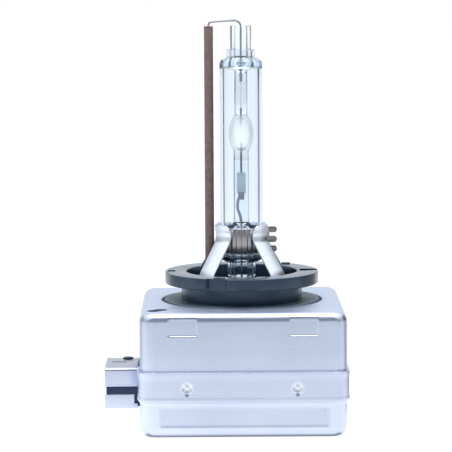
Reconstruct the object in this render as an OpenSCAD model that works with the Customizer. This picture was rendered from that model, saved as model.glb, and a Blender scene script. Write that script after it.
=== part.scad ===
// Gas-discharge headlight bulb with its ignitor built into the base.
// The lamp axis is Z, the underside of the metal box is z = 0 and the front faces -Y.
// All sizes are millimetres. The connector leaves the box on the -X side.

/* [Metal cans] */
// Outside width of the upper can
can_w = 42; // [41.5:0.1:42.5]
// Height of the upper can's top face above the underside
can_top = 25.5; // [25:0.1:26]
// Sheet thickness of both cans
sheet = 0.5; // [0.4:0.05:0.5]
// Radius of the upright corners
can_corner_r = 3.2; // [2.8:0.1:3.4]
// Bend radius round the upper can's top
can_edge_r = 2; // [1.8:0.1:2]
// Radius of the round hole in the upper can
can_hole_r = 16.7; // [16.4:0.1:17]
// Height of the lower can's top lip
band_top = 13.5; // [13.2:0.1:13.9]
// Height of the step under the lower can's wide band
step_z = 7.35; // [7:0.05:7.6]
// Outside width of the lower can below its step
foot_w = 41.9; // [41.7:0.1:41.9]
// Bend radius round the lower can's bottom
foot_edge_r = 2.2; // [1.8:0.1:2.4]

/* [Base ring] */
// Radius of the locating ring
ring_r = 16; // [15.8:0.1:16]
// Height of the ring's top face
ring_top = 31.62; // [31.4:0.01:32]
// Thickness of the ring
ring_t = 2.47; // [2.2:0.01:2.6]
// Radius of the neck under the ring
neck_r = 12.6; // [12.4:0.1:13]
// Radius of the cup inside the ring
cup_r = 11.55; // [11.5:0.05:11.8]
// Height of the cup's floor
cup_floor = 27; // [26.8:0.1:27.2]

/* [Burner] */
// Outside radius of the outer glass
glass_r = 4.5; // [4.3:0.1:4.5]
// Inside radius of the outer glass
glass_bore_r = 3.55; // [3.4:0.05:3.6]
// Radius of the glass collars at both ends
collar_r = 2.93; // [2.8:0.01:3]
// Height of the glass's bottom end
glass_z0 = 30.3; // [30:0.1:30.6]
// Height of the top collar's upper end
glass_z1 = 77.7; // [77:0.1:78]
// Outside radius of the open stem at the top
stem_r = 2.2; // [2.1:0.05:2.3]
// Height of the open stem's rim
stem_top = 82.6; // [82:0.1:82.6]
// Height of the middle of the arc
arc_z = 60.25; // [60:0.05:60.5]
// Outside radius of the arc chamber
chamber_r = 2.6; // [2.5:0.05:2.7]
// Distance between the electrode tips
arc_gap = 4.2; // [4:0.1:4.4]

/* [Clamp and legs] */
// Outside radius of the clamp band over its flutes
band_r = 5; // [5:0.01:5.05]
// Height of the clamp band's lower edge
clamp_z0 = 35.6; // [35.4:0.1:35.8]
// Height of the clamp band's upper edge
clamp_z1 = 40.8; // [40.6:0.1:41]
// Width of each spring leg
leg_w = 4.15; // [4:0.05:4.2]
// Thickness of each spring leg
leg_t = 0.35; // [0.3:0.01:0.36]

/* [Return lead] */
// Distance from the lamp axis to the ceramic tube
tube_x = 6.65; // [6.6:0.05:6.8]
// Outside radius of the ceramic tube
tube_r = 0.95; // [0.9:0.01:1]
// Height of the ceramic tube's top
tube_top = 82.5; // [82:0.1:82.6]
// Radius of the return wire
wire_r = 0.2; // [0.18:0.01:0.22]

/* [Connector] */
// Distance from the lamp axis to the connector's mouth
plug_x = 28.3; // [28:0.1:28.6]
// Width of the connector
plug_w = 13.8; // [13.6:0.1:14]
// Height of the connector
plug_h = 8.5; // [8.4:0.1:8.6]
// Height of the connector's middle
plug_z = 8.95; // [8.9:0.05:9]
// Sideways place of the connector's middle
plug_y = -5.6; // [-5.7:0.1:-5.5]
// Height of the dark gap between the two metal shields
plug_gap = 1.6; // [1.5:0.1:1.8]
// Height of the middle of the dark gap
plug_gap_z = 8.5; // [8.4:0.05:8.6]

/* [Ignitor] */
// Outside width of the plastic housing
house_w = 40.6; // [40.5:0.05:40.6]
// Wall thickness of the plastic housing
house_t = 1.2; // [1:0.1:1.3]
// Number of winding chambers on the transformer bobbin
chambers = 7; // [5:2:9]
// Depth of the potting bed
potting_t = 1.7; // [1.5:0.1:1.9]

/* [Hidden] */
$fn = 64;
slack = 0.01;
bend_swell = 0.03;

// Cans: the upper can drops into the lower can's band and stands on its step
band_w = can_w + 2 * sheet + 0.1;
shelf_z = step_z + sheet;
oval_hole = [-17.4, -15.9];
oval_r = 1.3;
oval_reach = 1.1;
recess_w = 5.75;
recess_x = 12.2;
recess_z = [20.9, 24.2];
panel_x = [-16.85, 17.3];
panel_z = [2.6, 6.5];
press_depth = 0.25;
punch_x = [-11.4, 10.9];
punch_z = 10.5;
punch_r = 1;

// Ignitor housing
house_r = can_corner_r - sheet - 0.15;
floor_z = sheet;
room_w = house_w - 2 * house_t;
room_z = floor_z + house_t;
bed_z = room_z + potting_t;
cover_top = can_top - sheet;
cover_z = cover_top - 1.6;
boss_r = can_hole_r - 0.6;
boss_top = cover_top + 0.2;
seal_top = can_top + 0.3;
spigot_r = cup_r - 0.05;

// Base ring
ring_z = ring_top - ring_t;
spigot_z = cover_z + 0.8;
notch_angle = 20;
notch_w = 4;
notch_depth = 1;
groove_depth = 0.6;
groove = [[12.1, -1.5], [ring_r + 1, 0.2], [ring_r + 1, 1.9], [12.1, 2.2]];
pocket_r = 14.65;
pocket_w = 1.6;
pocket_y = [-3.3, 0.1];
pocket_depth = 0.35;
pad_at = [9.6, 10.9];
tower_r = 4.6;
tower_bore = 3.4;
tower_top = cup_floor + 2.2;
slot_z = cup_floor - 0.8;

// Burner
shoulder_r = 1.3;
top_wall = 1.8;
foot_tube_r = 1.95;
seal_low_r = 1.6;
seal_high_r = 1.35;
foot_bore = 1.35;
foot_top = 41.8;
seal_low_z = [44, 53.5];
seal_high_z = [65, 73];
foil_w = 1.3;
foil_t = 0.1;
foil_low_z = [47.8, 52.2];
foil_high_z = [65.6, 71.6];
rod_r = 0.15;
lead_r = 0.2;
wire_top = 83.75;
wire_bend = 0.8;
stem_bore = 1.2;
sleeve_z = [20.5, 26.2];
cavity = [1.95, 3.3];
chamber_reach = 4.35;

// The lower lead leaves the foil a little off the axis and bends back to it
lead_route = [
    [0, 0, sleeve_z[0]], [0, 0, 42], [-0.25, 0, 43.4], [-0.6, 0, 44.7], [-0.5, 0, 46.4], [0, 0, 47.8]
];

// Clamp, ear and legs: a leg is a strip bent to this outline of [distance from axis, height]
flute_r = 0.32;
flutes = 24;
ear_t = 1.1;
ear_root = 5.8;
ear_reach = 7.4;
lugs = [[35.6, 36.8], [37.55, 38.8], [39.6, 40.8]];
leg_foot_x = 10.6;
leg_route = [
    [leg_foot_x, slot_z], [leg_foot_x, 31.1], [band_r + leg_t / 2 + 0.05, 38.8], [5.85, 40.3], [6, 41.4]
];

// Connector
wall_x = house_w / 2;
shield_t = 0.4;
shroud_t = 1;
shroud_w = plug_w - 2 * shield_t;
shroud_h = plug_h - 2 * shield_t;
mouth_w = shroud_w - 2 * shroud_t;
mouth_h = shroud_h - 2 * shroud_t;
pin_y = [-4.9, -2.9, 2.9, 4.9];
pin_t = 0.64;
pin_tip = plug_x - 2.4;
pin_root = 17.4;
gap_low = plug_gap_z - plug_gap / 2 - plug_z;
gap_high = plug_gap_z + plug_gap / 2 - plug_z;
shield_edge_r = 0.7;
slot_x = [-27.1, -24.2];
slot_y = 0.7;
slot_w = 0.35;
nub_at = [-23.85, 4.9];
nub_r = 1.05;
nub_h = 0.35;
end_gap = 0.7;
end_gap_h = 1.9;
shield_x = band_w / 2 + 0.05;

// Transformer: lies along X towards the back
coil_y = 10.5;
coil_z = 11;
core_r = 3;
core_l = 31;
bobbin_l = 30;
bobbin_t = 0.8;
flange_r = 7.4;
pitch = (bobbin_l - bobbin_t) / chambers;
winding_r = 6.4;
turn_r = 0.45;

// Small parts that stand on the potting bed
gap_at = [-11.5, -12];
gap_r = 3.2;
cap_size = [13, 10, 9];
cap_at = [8.5, -11.5];
resistor_at = [-2.4, -12];
resistor_r = 1.3;
post_r = 0.35;
track_ends = [[gap_at.x, -15.4], [resistor_at.x, -8.4], [-6.65, 0], [-13, coil_y]];

// Geometry helpers
function arc(centre, r, a0, a1, n = 10) =
    [for (i = [0 : n]) let (a = a0 + (a1 - a0) * i / n) centre + r * [cos(a), sin(a)]];
function ellipse_arc(centre, r, a0, a1, n = 16) =
    [for (i = [0 : n]) let (a = a0 + (a1 - a0) * i / n) centre + [r.x * cos(a), r.y * sin(a)]];
function flip(points) = [for (i = [len(points) - 1 : -1 : 0]) points[i]];
function unit(v) = v / norm(v);
function left_of(v) = [-v.y, v.x];
function bend_side(route, s) = [
    for (i = [0 : len(route) - 1])
        let (
            last = len(route) - 1,
            into = unit(route[max(i, 1)] - route[max(i, 1) - 1]),
            out = unit(route[min(i + 1, last)] - route[min(i, last - 1)]),
            n1 = left_of(into),
            n2 = left_of(out)
        )
        route[i] + s * (n1 + n2) / (1 + n1 * n2)
];

module rounded_square(w, r) {
    square([w - 2 * r, w], center = true);
    square([w, w - 2 * r], center = true);
    for (x = [-1, 1], y = [-1, 1])
        translate([x, y] * (w / 2 - r)) circle(r);
}

// A square block with upright corners of radius r and a rolled edge of radius e round its top
module rolled_block(w, h, r, e) {
    linear_extrude(h - e) rounded_square(w, r);
    linear_extrude(h) rounded_square(w - 2 * e, r - e);
    for (a = [0 : 90 : 270]) rotate(a) {
        translate([w / 2 - e, 0, h - e]) rotate([90, 0, 0])
            cylinder(r = e, h = w - 2 * r, center = true);
        translate([w / 2 - r, w / 2 - r, h - e])
            rotate_extrude(angle = 90) intersection() {
                translate([r - e, 0]) circle(e);
                square(r + 1);
            }
    }
}

// The same block turned over, with its rolled edge round the underside at z = 0
module rolled_foot(w, h, r, e) {
    translate([0, 0, h]) mirror([0, 0, 1]) rolled_block(w, h, r, e);
}

module tube(outer, inner, z0, z1) {
    translate([0, 0, z0]) difference() {
        cylinder(r = outer, h = z1 - z0);
        translate([0, 0, -slack]) cylinder(r = inner, h = z1 - z0 + 2 * slack);
    }
}

module rod(p, q, r) {
    d = q - p;
    translate(p) rotate([0, acos(d.z / norm(d)), atan2(d.y, d.x)]) cylinder(r = r, h = norm(d));
}

// A wire through a list of points, very slightly swollen at each bend
module wire(route, r) {
    for (i = [1 : len(route) - 1]) rod(route[i - 1], route[i], r);
    for (i = [1 : len(route) - 2]) translate(route[i]) sphere(r + bend_swell);
}

module box(low, high) {
    translate(low) cube(high - low);
}

// The opening in the side of both cans that the connector passes through
module connector_window(top) {
    grow = 0.35;
    box([-can_w, plug_y - plug_w / 2 - grow, plug_z - plug_h / 2 - grow],
        [-can_w / 2 + 2, plug_y + plug_w / 2 + grow, top]);
}

// Cans
module upper_can() color("lightsteelblue") {
    h = can_top - shelf_z;
    difference() {
        translate([0, 0, shelf_z]) rolled_block(can_w, h, can_corner_r, can_edge_r);
        translate([0, 0, shelf_z - slack])
            rolled_block(can_w - 2 * sheet, h - sheet + slack, can_corner_r - sheet, can_edge_r - sheet);
        cylinder(r = can_hole_r, h = can_top + 1);
        translate(oval_hole) rotate(45) {
            for (s = [-1, 1]) translate([s * oval_reach, 0]) cylinder(r = oval_r, h = can_top + 1);
            translate([-oval_reach, -oval_r]) cube([2 * oval_reach, 2 * oval_r, can_top + 1]);
        }
        for (s = [-1, 1])
            box([s * recess_x - recess_w / 2, -can_w / 2 - 1, recess_z[0]],
                [s * recess_x + recess_w / 2, press_depth - can_w / 2, recess_z[1]]);
        connector_window(plug_z + plug_h / 2 + 0.35);
    }
}

module lower_can() color("lightsteelblue") difference() {
    union() {
        rolled_foot(foot_w, shelf_z, can_corner_r, foot_edge_r);
        translate([0, 0, step_z])
            linear_extrude(band_top - step_z) rounded_square(band_w, can_corner_r + sheet + 0.05);
    }
    translate([0, 0, sheet])
        rolled_foot(foot_w - 2 * sheet, band_top, can_corner_r - sheet, foot_edge_r - sheet);
    translate([0, 0, shelf_z])
        linear_extrude(band_top) rounded_square(band_w - 2 * sheet, can_corner_r + 0.05);
    box([panel_x[0], -can_w, panel_z[0]], [panel_x[1], press_depth - foot_w / 2, panel_z[1]]);
    for (x = punch_x)
        translate([x, -band_w / 2 - 0.6 * punch_r, punch_z]) sphere(punch_r);
    connector_window(band_top + 1);
}

// Base
module base_ring() color("darkslategray") difference() {
    union() {
        translate([0, 0, spigot_z]) cylinder(r = spigot_r, h = cup_floor - spigot_z);
        tube(neck_r, cup_r, seal_top, ring_top);
        tube(ring_r, cup_r, ring_z, ring_top);
        translate([0, 0, seal_top]) cylinder(r = neck_r, h = cup_floor - seal_top);
        tube(tower_r, tower_bore, cup_floor - slack, tower_top);
        translate([pad_at.x, pad_at.y, ring_z]) cylinder(r = 0.9, h = ring_t + 0.3);
    }
    rotate(-notch_angle)
        box([-notch_w / 2, -ring_r - 1, ring_z - 1], [notch_w / 2, notch_depth - ring_r, 40]);
    translate([0, 0, ring_top - groove_depth]) linear_extrude(2) polygon(groove);
    for (y = pocket_y)
        translate([-pocket_r, y, ring_top - pocket_depth]) cylinder(r = pocket_w / 2, h = 1);
    box([-pocket_r - pocket_w / 2, pocket_y[0], ring_top - pocket_depth],
        [-pocket_r + pocket_w / 2, pocket_y[1], ring_top + 1]);
    cylinder(r = tube_r - 0.15, h = cup_floor + 1);
    translate([-tube_x, 0, 0]) cylinder(r = tube_r, h = cup_floor + 1);
    for (a = [45 : 90 : 315]) rotate(a)
        box([leg_foot_x - leg_t / 2, -leg_w / 2, slot_z], [leg_foot_x + leg_t / 2, leg_w / 2, cup_floor + 1]);
}

module base_seal() color("dimgray") tube(boss_r, spigot_r, boss_top, seal_top);

// Clamp band: a thin ring with half-round upright flutes and a folded ear with three lugs
module clamp_band() color("gray") {
    skin_r = band_r - flute_r;
    difference() {
        union() {
            translate([0, 0, clamp_z0]) linear_extrude(clamp_z1 - clamp_z0) {
                circle(skin_r);
                for (i = [0 : flutes - 1]) rotate(i * 360 / flutes) translate([skin_r, 0]) circle(flute_r);
            }
            box([skin_r - 0.2, -ear_t / 2, clamp_z0], [ear_root, ear_t / 2, clamp_z1]);
            for (lug = lugs) {
                r = (lug[1] - lug[0]) / 2;
                box([ear_root - slack, -ear_t / 2, lug[0]], [ear_reach - r, ear_t / 2, lug[1]]);
                translate([ear_reach - r, 0, lug[0] + r]) rotate([90, 0, 0])
                    cylinder(r = r, h = ear_t, center = true);
            }
        }
        cylinder(r = glass_r, h = 100);
    }
}

module leg(angle) color("silver") rotate(angle) rotate([90, 0, 0])
    linear_extrude(leg_w, center = true)
        polygon(concat(bend_side(leg_route, -leg_t / 2), flip(bend_side(leg_route, leg_t / 2))));
module leg_front_left() leg(225);
module leg_front_right() leg(315);
module leg_rear_left() leg(135);
module leg_rear_right() leg(45);

// Burner
module outer_glass() color("aliceblue", 0.4) {
    low = glass_z0 + 3.3;
    high = glass_z1 - 1.8;
    inner = shoulder_r - glass_r + glass_bore_r + 0.3;
    rotate_extrude() polygon(concat(
        [[foot_tube_r, glass_z0]],
        arc([collar_r - 0.5, glass_z0 + 0.5], 0.5, -90, 0, 6),
        [[collar_r, low]],
        arc([glass_r - shoulder_r, low + shoulder_r], shoulder_r, -90, 0),
        arc([glass_r - shoulder_r, high - shoulder_r], shoulder_r, 0, 90),
        [[collar_r, high], [collar_r, glass_z1 - 0.3], [collar_r - 0.3, glass_z1], [stem_r, glass_z1]],
        [[stem_r, high - top_wall]],
        arc([glass_bore_r - inner, high - top_wall - inner], inner, 90, 0, 6),
        arc([glass_bore_r - inner, low + 0.95 + inner], inner, 0, -90, 6),
        [[foot_tube_r, low + 0.95]]
    ));
}

module arc_tube() color("lightblue", 0.5) {
    low = acos(seal_low_r / chamber_r);
    high = acos(seal_high_r / chamber_r);
    difference() {
        rotate_extrude() polygon(concat(
            [[0, glass_z0], [foot_tube_r, glass_z0]],
            arc([foot_tube_r - 0.5, foot_top - 0.5], 0.5, 0, 70, 5),
            [[seal_low_r, seal_low_z[0]]],
            ellipse_arc([0, arc_z], [chamber_r, chamber_reach], -low, high),
            [[seal_high_r, seal_high_z[1]]],
            arc([stem_r - 1.2, 74.6], 1.2, -70, 0, 6),
            [[stem_r, stem_top], [0, stem_top]]
        ));
        rotate_extrude() polygon(concat(
            [[0, glass_z0 - 1], [foot_bore, glass_z0 - 1]],
            arc([0, foot_top - 0.1 - foot_bore], foot_bore, 0, 90, 8)
        ));
        rotate_extrude() polygon(concat(arc([0, 75.2], stem_bore, -90, 0, 8), [[stem_bore, 90], [0, 90]]));
        rotate_extrude() polygon(ellipse_arc([0, arc_z], cavity, -90, 90, 20));
        foil(foil_low_z);
        rotate(90) foil(foil_high_z);
        translate([0, 0, foil_low_z[1]]) cylinder(r = rod_r, h = arc_z - foil_low_z[1]);
        translate([0, 0, arc_z]) cylinder(r = rod_r, h = foil_high_z[0] - arc_z);
        translate([0, 0, foil_high_z[1]]) cylinder(r = wire_r, h = 5);
        wire(lead_route, lead_r);
    }
}

module foil(z) box([-foil_w / 2, -foil_t / 2, z[0]], [foil_w / 2, foil_t / 2, z[1]]);
module upper_foil() color("gray") rotate(90) foil(foil_high_z);
module lower_foil() color("gray") foil(foil_low_z);

module electrode(tip_z, root_z) color("gray") {
    rod([0, 0, min(tip_z, root_z)], [0, 0, max(tip_z, root_z)], rod_r);
    translate([0, 0, tip_z]) sphere(0.22);
}
module upper_electrode() electrode(arc_z + arc_gap / 2, foil_high_z[0]);
module lower_electrode() electrode(arc_z - arc_gap / 2, foil_low_z[1]);

// Leads
module return_wire() color("silver") {
    z = wire_top;
    r = wire_bend;
    wire([[0, 0, foil_high_z[1]], [0, 0, z - r], [-0.3 * r, 0, z - 0.3 * r], [-r, 0, z],
        [0.45 - tube_x, 0, z - 0.45], [-tube_x, 0, tube_top], [-tube_x, 0, sleeve_z[0]]], wire_r);
}

module lower_lead() color("gray") difference() {
    wire(lead_route, lead_r);
    foil(foil_low_z);
}

module ceramic_tube() color("rosybrown") translate([-tube_x, 0, 0])
    tube(tube_r, wire_r + 0.08, cup_floor - 2.4, tube_top);

module high_voltage_contact() color("goldenrod") {
    tube(tube_r - 0.15, lead_r, sleeve_z[0], sleeve_z[1]);
    difference() {
        box([-1.2, -1.2, sleeve_z[0] - 0.6], [1.2, coil_y + 0.3, sleeve_z[0]]);
        translate([0, 0, sleeve_z[0] - 1]) cylinder(r = lead_r, h = 2);
    }
    box([-1.2, coil_y - 0.3, coil_z + winding_r], [1.2, coil_y + 0.3, sleeve_z[0] - 0.6]);
}

module return_contact() color("goldenrod") translate([-tube_x, 0, 0]) {
    tube(tube_r - 0.15, wire_r, sleeve_z[0], sleeve_z[0] + 2);
    box([-0.3, -1, bed_z], [0.3, 1, sleeve_z[0]]);
}

// Ignitor
module ignitor_housing() color("darkslategray") difference() {
    translate([0, 0, floor_z]) rolled_foot(house_w, cover_z - floor_z, house_r, foot_edge_r - sheet);
    translate([0, 0, room_z]) linear_extrude(can_top) rounded_square(room_w, house_r - house_t);
    for (y = pin_y)
        box([-wall_x - 1, plug_y + y - pin_t / 2, plug_z - pin_t / 2],
            [-room_w / 2 + 1, plug_y + y + pin_t / 2, plug_z + pin_t / 2]);
}

module housing_cover() color("darkslategray") difference() {
    union() {
        translate([0, 0, cover_z]) rolled_block(house_w, cover_top - cover_z, house_r, can_edge_r - sheet);
        translate([0, 0, cover_z]) cylinder(r = boss_r, h = boss_top - cover_z);
    }
    cylinder(r = spigot_r, h = can_top + 1);
}

module along_x(length) {
    translate([-length / 2, coil_y, coil_z]) rotate([0, 90, 0]) cylinder(r = $r, h = length);
}

module coil_ring(x, w, outer, inner) {
    translate([x - w / 2, coil_y, coil_z]) rotate([0, 90, 0]) tube(outer, inner, 0, w);
}

module transformer_core() color("dimgray") along_x(core_l, $r = core_r);

module transformer_bobbin() color("ivory") {
    coil_ring(0, bobbin_l, core_r + bobbin_t, core_r);
    for (i = [0 : chambers]) {
        x = (i - chambers / 2) * pitch;
        coil_ring(x, bobbin_t, flange_r, core_r + bobbin_t - slack);
        box([x - bobbin_t / 2, coil_y - 2.5, bed_z], [x + bobbin_t / 2, coil_y + 2.5, coil_z - flange_r + 1]);
    }
}

module secondary_winding() color("peru")
    for (i = [0 : chambers - 2])
        coil_ring((i - (chambers - 1) / 2) * pitch, pitch - bobbin_t, winding_r, core_r + bobbin_t);

module primary_winding() color("peru") {
    turns = floor((pitch - bobbin_t) / (2 * turn_r + 0.1));
    x0 = (chambers - 1) / 2 * pitch;
    for (i = [0 : turns - 1])
        translate([x0 + (i - (turns - 1) / 2) * (2 * turn_r + 0.1), coil_y, coil_z]) rotate([0, 90, 0])
            rotate_extrude() translate([core_r + bobbin_t + turn_r + 0.01, 0]) circle(turn_r);
}

module spark_gap() color("white") translate([gap_at.x, gap_at.y, bed_z + gap_r + 0.5]) {
    rotate([90, 0, 0]) cylinder(r = gap_r, h = 5.4, center = true);
    for (s = [-1, 1]) translate([0, s * 3, 0]) {
        rotate([90, 0, 0]) cylinder(r = gap_r + 0.3, h = 0.8, center = true);
        translate([0, s * 0.4, 0]) rod([0, 0, -gap_r - 0.5], [0, 0, 0], post_r);
    }
}

module capacitor() color("gold") translate([cap_at.x, cap_at.y, bed_z])
    translate([-cap_size.x / 2, -cap_size.y / 2, 0]) cube(cap_size);

module bleed_resistor() color("tan") translate([resistor_at.x, resistor_at.y, bed_z + resistor_r + 0.5]) {
    rotate([90, 0, 0]) cylinder(r = resistor_r, h = 5, center = true);
    for (s = [-1, 1]) {
        rod([0, s * 2.4, 0], [0, s * 3.6, 0], post_r);
        translate([0, s * 3.6, 0]) sphere(post_r);
        rod([0, s * 3.6, -resistor_r - 0.5], [0, s * 3.6, 0], post_r);
    }
}

module lead_frame() color("goldenrod")
    for (i = [0 : len(pin_y) - 1]) {
        a = [-pin_root, plug_y + pin_y[i]];
        b = track_ends[i];
        box([a.x - 0.5, a.y - 0.5, room_z], [b.x + 0.5, a.y + 0.5, room_z + 0.4]);
        box([b.x - 0.5, min(a.y, b.y) - 0.5, room_z], [b.x + 0.5, max(a.y, b.y) + 0.5, room_z + 0.4]);
        box([a.x - 0.4, a.y - 0.4, room_z], [a.x + 0.4, a.y + 0.4, bed_z]);
        box([b.x - 0.4, b.y - 0.4, room_z], [b.x + 0.4, b.y + 0.4, bed_z]);
    }

module potting_bed() color("slategray") difference() {
    translate([0, 0, room_z]) linear_extrude(potting_t) rounded_square(room_w, house_r - house_t);
    lead_frame();
}

// Connector
module connector_pins() color("gold")
    for (y = pin_y) translate([0, plug_y + y, plug_z]) {
        box([-pin_tip, -pin_t / 2, -pin_t / 2], [-pin_root + pin_t / 2, pin_t / 2, pin_t / 2]);
        box([-pin_root - pin_t / 2, -pin_t / 2, bed_z - plug_z], [-pin_root + pin_t / 2, pin_t / 2, 0]);
    }

module connector_shroud() color("darkslategray") translate([0, plug_y, plug_z]) difference() {
    union() {
        box([-plug_x + 0.3, -shroud_w / 2, -shroud_h / 2], [-wall_x, shroud_w / 2, shroud_h / 2]);
        box([-plug_x + 0.3, -plug_w / 2, gap_low], [-shield_x, plug_w / 2, gap_high]);
        translate([nub_at.x, nub_at.y, 0]) cylinder(r = nub_r, h = plug_h / 2 + nub_h);
    }
    box([-plug_x - 1, -mouth_w / 2, -mouth_h / 2], [-wall_x - 1.4, mouth_w / 2, mouth_h / 2]);
    for (y = pin_y)
        box([-plug_x, y - pin_t / 2, -pin_t / 2], [-wall_x + 1, y + pin_t / 2, pin_t / 2]);
}

// One metal shield: a shallow trough over the shroud, open towards the middle and at both ends.
// Its sides start at the height low above the connector's middle
module shield(low) {
    e = shield_edge_r;
    high = plug_h / 2;
    difference() {
        translate([-plug_x, 0, 0]) rotate([90, 0, 90]) linear_extrude(plug_x - shield_x) {
            translate([-plug_w / 2, low]) square([plug_w, high - low - e]);
            translate([e - plug_w / 2, low]) square([plug_w - 2 * e, high - low]);
            for (s = [-1, 1]) translate([s * (plug_w / 2 - e), high - e]) circle(e);
        }
        box([-plug_x - 1, -shroud_w / 2, low - 1], [0, shroud_w / 2, shroud_h / 2]);
    }
}

module connector_upper_shield() color("lightsteelblue") translate([0, plug_y, plug_z]) difference() {
    shield(gap_high);
    box([slot_x[0], slot_y - slot_w / 2, 0], [slot_x[1], slot_y + slot_w / 2, plug_h]);
    translate([nub_at.x, nub_at.y, 0]) cylinder(r = nub_r + 0.05, h = plug_h);
}

module connector_lower_shield() color("lightsteelblue") translate([0, plug_y, plug_z]) difference() {
    mirror([0, 0, 1]) shield(-gap_low);
    box([-shield_x - end_gap, -plug_w, gap_low - end_gap_h], [0, shield_t - plug_w / 2, gap_low + 1]);
}

upper_can();
lower_can();
base_ring();
base_seal();
clamp_band();
leg_front_left();
leg_front_right();
leg_rear_left();
leg_rear_right();
outer_glass();
arc_tube();
upper_electrode();
lower_electrode();
upper_foil();
lower_foil();
return_wire();
lower_lead();
ceramic_tube();
high_voltage_contact();
return_contact();
ignitor_housing();
housing_cover();
transformer_core();
transformer_bobbin();
secondary_winding();
primary_winding();
spark_gap();
capacitor();
bleed_resistor();
lead_frame();
potting_bed();
connector_shroud();
connector_upper_shield();
connector_lower_shield();
connector_pins();
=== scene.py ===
import math

import bmesh
import bpy
from mathutils import Matrix, Vector


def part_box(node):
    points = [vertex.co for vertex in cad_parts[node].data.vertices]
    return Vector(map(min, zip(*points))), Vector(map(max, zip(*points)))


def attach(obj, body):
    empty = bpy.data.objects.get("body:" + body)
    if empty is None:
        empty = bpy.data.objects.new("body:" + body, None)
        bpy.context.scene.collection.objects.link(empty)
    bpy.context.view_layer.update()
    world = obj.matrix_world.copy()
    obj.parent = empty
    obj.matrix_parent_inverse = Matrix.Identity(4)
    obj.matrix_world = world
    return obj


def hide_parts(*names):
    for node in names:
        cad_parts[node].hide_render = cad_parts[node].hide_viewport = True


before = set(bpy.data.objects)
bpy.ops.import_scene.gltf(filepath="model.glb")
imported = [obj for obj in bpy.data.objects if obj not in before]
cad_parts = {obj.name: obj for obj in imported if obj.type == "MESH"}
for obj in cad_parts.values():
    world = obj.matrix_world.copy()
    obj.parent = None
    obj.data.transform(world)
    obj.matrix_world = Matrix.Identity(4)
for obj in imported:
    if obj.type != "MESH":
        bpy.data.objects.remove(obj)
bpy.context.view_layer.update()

# Every length below is in millimetres, and MM turns it into Blender's metres.
MM = 0.001


# ---------------- sizes from the frame
def node_box(name):
    """The lowest and highest corner of a CAD node, in millimetres."""
    low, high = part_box(name)
    return low / MM, high / MM


UPPER_HIGH = node_box("upper_can")[1]
LOWER_LOW, LOWER_HIGH = node_box("lower_can")
RING_HIGH = node_box("base_ring")[1]
SEAL_LOW, SEAL_HIGH = node_box("base_seal")
BAND_LOW, BAND_HIGH = node_box("clamp_band")
GLASS_LOW, GLASS_HIGH = node_box("outer_glass")
QUARTZ_LOW, QUARTZ_HIGH = node_box("arc_tube")
CERAMIC_LOW, CERAMIC_HIGH = node_box("ceramic_tube")
WIRE_LOW, WIRE_HIGH = node_box("return_wire")
SHROUD_LOW, SHROUD_HIGH = node_box("connector_shroud")
SHIELD_LOW, SHIELD_HIGH = node_box("connector_upper_shield")
FOOT_SHIELD_LOW, FOOT_SHIELD_HIGH = node_box("connector_lower_shield")

# The cans: sheet, half widths, tops, corner and edge radii, the round hole and where the lower can steps in
SHEET = 0.5
CAN_HALF = UPPER_HIGH.x
CAN_TOP = UPPER_HIGH.z
CAN_CORNER = 3.2
CAN_EDGE = 2.0
CAN_HOLE = 16.7
BAND_HALF = LOWER_HIGH.x
BAND_TOP = LOWER_HIGH.z
STEP_Z = 7.35
FOOT_HALF = 20.95
FOOT_EDGE = 2.2
FLOOR_Z = LOWER_LOW.z
# On the front of the lower can: the pressed panel and the two staked punch marks
PANEL_X, PANEL_Z = (-16.85, 17.3), (2.45, 6.4)
PUNCH_X, PUNCH_Z, PUNCH_R = (-11.4, 10.9), 10.5, 0.95

# The base ring: its body, its cup with the tower in it, its neck and the spigot inside the can
RING_Z, RING_TOP = 29.15, 31.62
RING_R = RING_HIGH.x
CUP_R, CUP_FLOOR = 11.55, 27.0
TOWER_R, TOWER_BORE, TOWER_TOP = 4.6, 3.4, 29.2
NECK_R, SPIGOT_R, SPIGOT_Z = 12.6, 11.5, 24.2

# The burner: glass radii, the middle and half sizes of the arc chamber, and the ceramic tube
GLASS_R = GLASS_HIGH.x
BORE_R, COLLAR_R = 3.55, 2.93
STEM_R, FOOT_R = 2.2, 1.95
ARC_Z = 60.25
CHAMBER, CAVITY = (2.6, 4.35), (1.95, 3.3)
CERAMIC_X, CERAMIC_R = (CERAMIC_LOW.x + CERAMIC_HIGH.x) / 2, (CERAMIC_HIGH.x - CERAMIC_LOW.x) / 2


# ---------------- mesh helpers
def arc(centre, radius, start, end, steps=8):
    """Points on an arc, angles in degrees."""
    turns = [math.radians(start + (end - start) * i / steps) for i in range(steps + 1)]
    return [(centre[0] + radius * math.cos(a), centre[1] + radius * math.sin(a)) for a in turns]


def circle(centre, radius, sides=36):
    """A closed round outline."""
    return arc(centre, radius, 0, 360 - 360 / sides, sides - 1)


def rounded(corners, steps=6):
    """A closed outline with its corners rounded. Each corner is (x, y, radius)."""
    outline = []
    for i, (x, y, radius) in enumerate(corners):
        here = Vector((x, y))
        before = (Vector(corners[i - 1][:2]) - here).normalized()
        after = (Vector(corners[(i + 1) % len(corners)][:2]) - here).normalized()
        if radius <= 0:
            outline.append(tuple(here))
            continue
        half = before.angle(after) / 2
        centre = here + (before + after).normalized() * radius / math.sin(half)
        first = here + before * radius / math.tan(half) - centre
        last = here + after * radius / math.tan(half) - centre
        turn = math.atan2(first.x * last.y - first.y * last.x, first.dot(last))
        for k in range(steps + 1):
            spoke = Matrix.Rotation(turn * k / steps, 2) @ first
            outline.append(tuple(centre + spoke))
    return outline


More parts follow.
